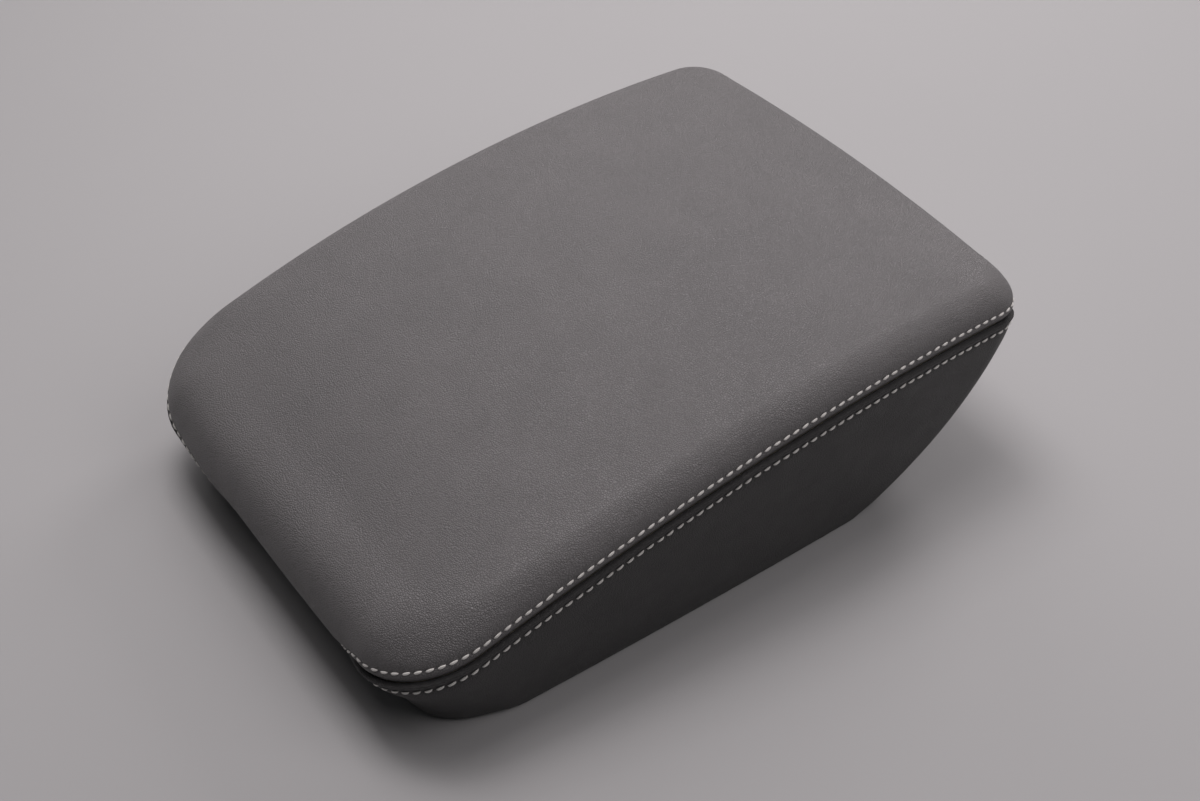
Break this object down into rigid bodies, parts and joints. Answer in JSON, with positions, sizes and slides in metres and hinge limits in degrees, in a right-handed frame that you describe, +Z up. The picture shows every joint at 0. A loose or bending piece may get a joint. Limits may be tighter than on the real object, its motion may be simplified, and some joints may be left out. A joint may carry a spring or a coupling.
{
  "type": "car centre console armrest",
  "caption": "Padded lid of a car's centre console, with a sewn leather cover, moulded core and inner lid, paddle latch under the front lip and friction hinge near the rear.",
  "frame": {"origin": "Centre of the bounding box in X and Y, on the plane of the lower rim in Z", "axes": "X from the front lip to the rear end, Y across the car, Z up from the rim to the crowned top"},
  "size_m": [0.3103, 0.2272, 0.1009],
  "materials": {
    "leather_top": "fine-grain charcoal leather with a soft satin sheen",
    "leather_side": "fine-grain charcoal leather, matt",
    "thread": "light grey bonded sewing thread",
    "foam": "moulded polyurethane foam",
    "core_plastic": "glass-filled moulding, matt",
    "trim_plastic": "fine spark-eroded grain",
    "hinge_steel": "zinc-plated pressed steel",
    "pin_steel": "ground steel",
    "screw_steel": "black zinc-plated steel",
    "spring_wire": "drawn spring wire",
    "rubber": "soft moulded rubber",
    "washer_plastic": "natural acetal"
  },
  "bodies": {
    "lid": {"top_cover": "leather_top", "side_cover_left": "leather_side", "side_cover_right": "leather_side", "topstitch_upper_left": "thread", "topstitch_lower_left": "thread", "topstitch_upper_right": "thread", "topstitch_lower_right": "thread", "foam_pad": "foam", "lid_core": "core_plastic", "inner_lid": "trim_plastic", "lid_screws": "screw_steel", "bumper_front_left": "rubber", "bumper_front_right": "rubber", "bumper_rear_left": "rubber", "bumper_rear_right": "rubber", "latch_housing": "trim_plastic", "latch_housing_screws": "screw_steel", "latch_pin": "pin_steel", "latch_spring": "spring_wire", "hinge_leaf": "hinge_steel", "hinge_leaf_screws": "screw_steel", "hinge_pin": "pin_steel", "hinge_pin_clip": "hinge_steel", "friction_washer_left": "washer_plastic", "friction_washer_right": "washer_plastic"},
    "paddle": {"latch_paddle": "trim_plastic"},
    "base": {"hinge_base": "hinge_steel"}
  },
  "joints": [
    {"name": "hinge", "type": "hinge", "parent": "lid", "child": "base", "pos_m": [0.06, 0, 0.007], "axis": [0, -1, 0], "range_deg": [0, 100]},
    {"name": "latch", "type": "hinge", "parent": "lid", "child": "paddle", "pos_m": [-0.085, 0, 0.013], "axis": [0, 1, 0], "range_deg": [0, 16], "stiffness_Nm_per_rad": 0.12, "springref_deg": -20.05, "deforming": ["latch_spring"]}
  ]
}
